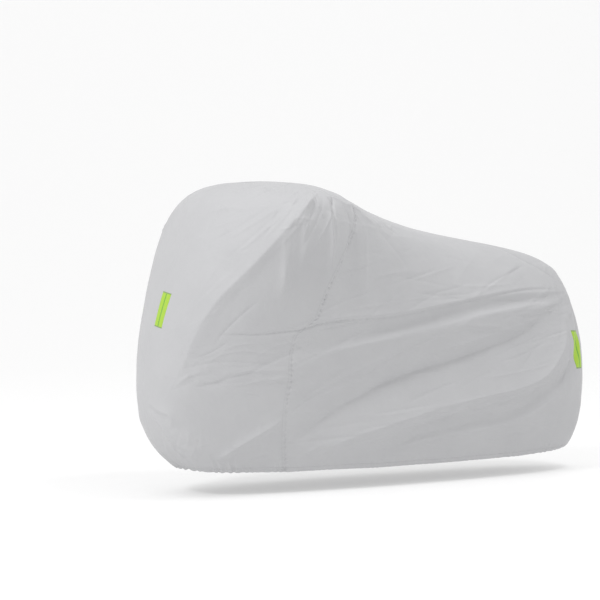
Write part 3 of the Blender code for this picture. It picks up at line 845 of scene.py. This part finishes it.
def silver_cloth():
    """Coated plain weave: matt, with a faint sheen, small dents and threads."""
    material = new_material("silver_cloth")
    place = add_node(material, "ShaderNodeTexCoord", {}).outputs["Object"]
    # The coating is a little uneven, in soft patches and in finer wear.
    patches = add_node(material, "ShaderNodeTexNoise", {
        "Vector": place, "Scale": 6.0, "Detail": 6.0, "Roughness": 0.6})
    colour = add_ramp(material, patches.outputs["Fac"],
                      (0.3, (0.478, 0.479, 0.490, 1)), (0.7, (0.500, 0.501, 0.511, 1)))
    # Dents and crackle of the coating, then the crossed threads of the weave.
    dents = add_node(material, "ShaderNodeTexNoise", {"Vector": place, "Scale": 46.0, "Detail": 5.0})
    dent_bump = add_node(material, "ShaderNodeBump", {
        "Strength": 0.45, "Distance": 0.0022, "Height": dents.outputs["Fac"]})
    normal = dent_bump.outputs["Normal"]
    for direction in ("X", "Z"):
        threads = add_node(material, "ShaderNodeTexWave", {
            "Vector": place, "Scale": 260.0, "Distortion": 0.4})
        threads.bands_direction = direction
        thread_bump = add_node(material, "ShaderNodeBump", {
            "Strength": 0.12, "Distance": 0.0002, "Height": threads.outputs["Fac"], "Normal": normal})
        normal = thread_bump.outputs["Normal"]
    return finish_shader(material, {
        "Base Color": colour, "Normal": normal, "Roughness": 0.62, "Specular IOR Level": 0.35,
        "Sheen Weight": 0.12, "Sheen Roughness": 0.45})


def grey_thread():
    """Polyester thread a shade darker than the cloth."""
    material = new_material("grey_thread")
    place = add_node(material, "ShaderNodeTexCoord", {}).outputs["Object"]
    ply = add_node(material, "ShaderNodeTexNoise", {"Vector": place, "Scale": 900.0})
    colour = add_ramp(material, ply.outputs["Fac"],
                      (0, (0.33, 0.33, 0.34, 1)), (1, (0.44, 0.44, 0.45, 1)))
    return finish_shader(material, {"Base Color": colour, "Roughness": 0.6, "Sheen Weight": 0.2})


STITCH_PITCH = 0.0048
STITCH_LENGTH = 0.0034
STITCH_RADIUS = 0.00045
STITCH_SIDES = 5
STITCH_AHEAD = 0.002  # to the point that shows which way the row runs
# The rings of one stitch: place along it in lengths, size and lift in radii.
STITCH_RINGS = ((-0.5, 0.3, -0.3), (-0.3, 1.0, 0.5), (0.3, 1.0, 0.5), (0.5, 0.3, -0.3))


def make_stitches(name, rows, near, material):
    """Rows of lock stitches; each row is the stations and the levels of a line."""
    verts, faces = [], []
    for station, level in rows:
        run = line_run(station, level)
        count = int(run[-1] / STITCH_PITCH)
        middle = (np.arange(count) + 0.5) * STITCH_PITCH
        point, normal = draped_frame(
            np.interp(middle, run, station), np.interp(middle, run, level), near)
        next_one = middle + STITCH_AHEAD
        ahead = draped_points(
            np.interp(next_one, run, station), np.interp(next_one, run, level), near) - point
        ahead /= np.maximum(np.linalg.norm(ahead, axis=1, keepdims=True), 1e-9)
        aside = np.cross(normal, ahead)
        for p, n, t, b in zip(point, normal, ahead, aside):
            first = len(verts)
            for reach, size, lift in STITCH_RINGS:
                centre = p + t * reach * STITCH_LENGTH + n * (lift * STITCH_RADIUS)
                for k in range(STITCH_SIDES):
                    turn = 2 * np.pi * k / STITCH_SIDES
                    rim = (n * np.cos(turn) + b * np.sin(turn)) * size * STITCH_RADIUS
                    verts.append(tuple(centre + rim))
            for ring in range(len(STITCH_RINGS) - 1):
                for k in range(STITCH_SIDES):
                    low = first + ring * STITCH_SIDES
                    nxt = (k + 1) % STITCH_SIDES
                    high = low + STITCH_SIDES
                    faces.append((low + k, low + nxt, high + nxt, high + k))
            last = first + (len(STITCH_RINGS) - 1) * STITCH_SIDES
            faces.append(tuple(first + k for k in reversed(range(STITCH_SIDES))))
            faces.append(tuple(last + k for k in range(STITCH_SIDES)))
    return link_mesh(name, verts, faces, material)


HEM_STITCH_RISE = 0.021  # of the row that closes the casing
SEAM_STITCH_OFFSET = 0.06  # in stations, of the top stitching ahead of the seam
CENTRE_STITCH_OFFSET = 0.012  # in levels, of the row beside the centre seam
ROW_SAMPLES = 200
SEAM_ROW_SAMPLES = 300
SEAM_ROW_START = 0.02  # in levels


def panel_rows(start, end, step=0.1):
    """Stitch rows of one panel: along its hem and along the centre seam."""
    stations = np.linspace(start, end, ROW_SAMPLES)
    above = smooth_cover(stations, np.full_like(stations, step))
    way_up = above - smooth_cover(stations, np.zeros_like(stations))
    hem_levels = step * HEM_STITCH_RISE / np.linalg.norm(way_up, axis=1)
    centre_levels = np.full_like(stations, CROWN_LEVEL - CENTRE_STITCH_OFFSET)
    return [(stations, hem_levels), (stations, centre_levels)]


cloth = silver_cloth()
thread = grey_thread()
full_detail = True
FRONT_CELLS = (215, 410) if full_detail else (150, 300)
FAR_FRONT_CELLS = (130, 280) if full_detail else (70, 140)
FRONT_WALK = (1, 2.5, 4)  # stations where the way up the cloth is measured
SEAM_CROWD = 0.4  # how much closer the lines lie at the upright seam
for side, is_near, cells in (("near", True, FRONT_CELLS), ("far", False, FAR_FRONT_CELLS)):
    panel = make_cloth(
        f"front_panel_cloth_{side}",
        is_near,
        even_lines(0, SEAM_STATION, cells[0], station_walk, SEAM_CROWD),
        even_lines(0, CROWN_LEVEL, cells[1], level_walk(FRONT_WALK)),
        cloth,
    )
    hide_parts(f"front_panel_{side}")
    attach(panel, "root")
    seam_levels = np.linspace(SEAM_ROW_START, CROWN_LEVEL, SEAM_ROW_SAMPLES)
    seam_stations = np.full_like(seam_levels, SEAM_STATION - SEAM_STITCH_OFFSET)
    rows = panel_rows(0, SEAM_STATION) + [(seam_stations, seam_levels)]
    stitches = make_stitches(f"front_stitching_{side}", rows, is_near, thread)
    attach(stitches, "root")

# ---------------------------------------------------------------------------
# Rear panels, near and far: the same cloth from the upright seam over tank,
# seat and tail, sewn to each other along the top and down the tail.
# ---------------------------------------------------------------------------
REAR_CELLS = (335, 288) if full_detail else (230, 200)
FAR_REAR_CELLS = (200, 200) if full_detail else (110, 110)
REAR_WALK = (6, 8, 9.5)
for side, is_near, cells in (("near", True, REAR_CELLS), ("far", False, FAR_REAR_CELLS)):
    panel = make_cloth(
        f"rear_panel_cloth_{side}",
        is_near,
        even_lines(SEAM_STATION, TAIL_STATION, cells[0], station_walk, -SEAM_CROWD),
        even_lines(0, CROWN_LEVEL, cells[1], level_walk(REAR_WALK)),
        cloth,
    )
    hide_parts(f"rear_panel_{side}")
    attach(panel, "root")
    rows = panel_rows(SEAM_STATION, TAIL_STATION)
    stitches = make_stitches(f"rear_stitching_{side}", rows, is_near, thread)
    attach(stitches, "root")

# ---------------------------------------------------------------------------
# Reflective strips: lime tape doubled along its middle and sewn on, one near
# each end of the cover on both sides, so that it shows in the dark.
# ---------------------------------------------------------------------------
STRIP_LIFT = 0.0004  # of its edges above the cloth
STRIP_BULGE = 0.0014  # of each half between the edge and the middle fold
STRIP_CELLS = (16, 60)
STRIP_END_ROWS = 2
STRIP_END_SHARE = 0.02  # of its length, over which it comes down to the cloth
STRIP_RIPPLE = 0.12  # of the bulge
STRIP_RIPPLES = 31
STRIP_DEPTH = 0.001  # of its underside below the outer face of the cloth
# Corners of each strip as station and level: top front, top rear, foot rear,
# foot front.
FRONT_STRIP = ((0.06, 2.92), (0.40, 2.90), (0.50, 2.56), (0.16, 2.58))
FAR_FRONT_STRIP = ((1.667, 2.93), (2.0, 2.93), (2.0, 2.57), (1.667, 2.57))
REAR_STRIP = ((9.38, 2.74), (9.74, 2.76), (9.82, 2.02), (9.48, 2.02))


def lime_tape(name, low, high, roughness):
    """Fluorescent tape with the fine beads of its face."""
    material = new_material(name)
    place = add_node(material, "ShaderNodeTexCoord", {}).outputs["Object"]
    beads = add_node(material, "ShaderNodeTexVoronoi", {"Vector": place, "Scale": 420.0})
    colour = add_ramp(material, beads.outputs["Distance"], (0, high), (1, low))
    bump = add_node(material, "ShaderNodeBump", {
        "Strength": 0.2, "Distance": 0.0004, "Height": beads.outputs["Distance"]})
    return finish_shader(material, {
        "Base Color": colour, "Normal": bump.outputs["Normal"], "Roughness": roughness,
        "Specular IOR Level": 0.4})


def between(start, end, share):
    return (1 - share)[..., None] * start + share[..., None] * end


def make_strip(name, corners, near, materials):
    """The doubled tape on the finished cloth, with a rim round its edges."""
    across, along = np.meshgrid(
        *(np.linspace(0, 1, cells + 1) for cells in STRIP_CELLS), indexing="ij")
    top_front, top_rear, foot_rear, foot_front = np.array(corners, float)
    upper, lower = between(top_front, top_rear, across), between(foot_front, foot_rear, across)
    spot = between(upper, lower, along)
    point, normal = draped_frame(spot[..., 0], spot[..., 1], near)
    bulge = np.sqrt(np.abs(np.sin(2 * np.pi * across))) * STRIP_BULGE
    ends = smooth_step(np.minimum(along, 1 - along) / STRIP_END_SHARE)
    ripple = STRIP_RIPPLE * STRIP_BULGE * np.sin(2 * np.pi * along * STRIP_RIPPLES)
    height = STRIP_LIFT + (bulge + ripple * np.sin(np.pi * across)) * ends
    top = point + normal * height[..., None]
    base = point - normal * STRIP_DEPTH
    columns, rows = across.shape
    index = np.arange(columns * rows).reshape(columns, rows)
    faces, kinds = [], []
    middle = STRIP_CELLS[0] // 2
    for i in range(columns - 1):
        for j in range(rows - 1):
            quad = (index[i, j], index[i, j + 1], index[i + 1, j + 1], index[i + 1, j])
            faces.append(tuple(int(v) for v in (quad if near else quad[::-1])))
            at_end = j < STRIP_END_ROWS or j >= rows - 1 - STRIP_END_ROWS
            # The two middle columns take the darker green, painted shade along the middle fold; the
            # ends take the end tape.
            kinds.append(2 if at_end else 1 if i in (middle - 1, middle) else 0)
    rim = [*index[:, 0], *index[-1, 1:], *index[-2::-1, -1], *index[0, -2:0:-1]]
    size = columns * rows
    rim_base = [size + k for k in range(len(rim))]
    for k in range(len(rim)):
        nxt = (k + 1) % len(rim)
        quad = (rim[k], rim[nxt], rim_base[nxt], rim_base[k])
        faces.append(tuple(int(v) for v in (quad if near else quad[::-1])))
        kinds.append(0)
    verts = [*top.reshape(-1, 3).tolist(), *base.reshape(-1, 3)[rim].tolist()]
    strip = link_mesh(name, verts, faces, materials[0])
    for material in materials[1:]:
        strip.data.materials.append(material)
    strip.data.polygons.foreach_set("material_index", kinds)
    return strip


lime = lime_tape("lime_tape", (0.34, 0.54, 0.05, 1), (0.42, 0.64, 0.07, 1), 0.45)
# A darker green painted along the middle fold as the shade of its crease.
lime_fold_painted_shade = lime_tape("lime_tape_fold_painted_shade", (0.16, 0.38, 0.05, 1), (0.22, 0.46, 0.07, 1), 0.5)
lime_end = lime_tape("lime_tape_end", (0.20, 0.30, 0.12, 1), (0.28, 0.40, 0.14, 1), 0.55)
tapes = (lime, lime_fold_painted_shade, lime_end)
for place, side, corners in (
    ("front", "near", FRONT_STRIP),
    ("front", "far", FAR_FRONT_STRIP),
    ("rear", "near", REAR_STRIP),
    ("rear", "far", REAR_STRIP),
):
    strip = make_strip(f"lime_strip_{place}_{side}", corners, side == "near", tapes)
    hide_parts(f"strip_{place}_{side}")
    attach(strip, "root")
